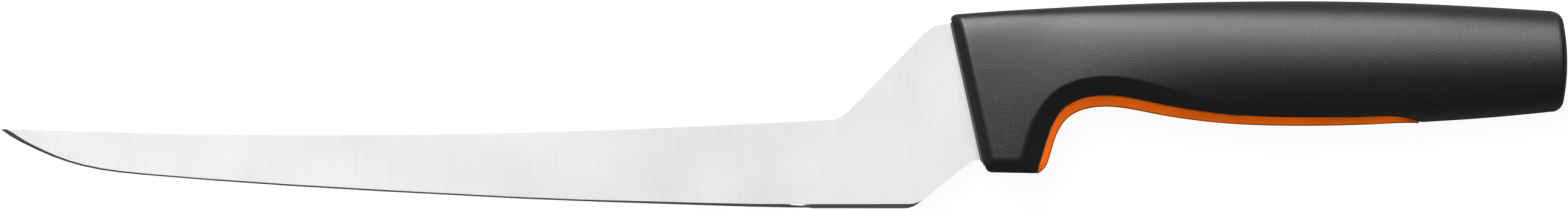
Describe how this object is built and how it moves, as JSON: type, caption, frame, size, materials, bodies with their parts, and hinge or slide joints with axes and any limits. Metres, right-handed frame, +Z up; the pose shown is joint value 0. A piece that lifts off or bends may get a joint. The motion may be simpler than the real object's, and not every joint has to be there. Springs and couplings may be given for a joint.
{
  "type": "fillet knife",
  "caption": "Slender fillet knife with a flexible ground blade that ramps up to a moulded black grip with a finger guard and an orange inlay along the finger side.",
  "frame": {"origin": "under the middle of the knife's outline, on the surface it lies on", "axes": "+X from the tip towards the butt, +Y from the cutting edge towards the back, +Z up, square to the blade's side"},
  "size_m": [0.3603, 0.0476, 0.021],
  "materials": {
    "blade_steel": "fine brushed lines from the back to the edge, with a polished edge bevel",
    "core_plastic": "smooth dark grey moulded plastic",
    "grip_rubber": "black soft-touch moulding with a fine satin grain",
    "inlay_rubber": "orange soft moulding, satin"
  },
  "bodies": {
    "root": {"blade": "blade_steel", "handle_core": "core_plastic", "grip_shell": "grip_rubber", "finger_inlay": "inlay_rubber"}
  },
  "joints": []
}
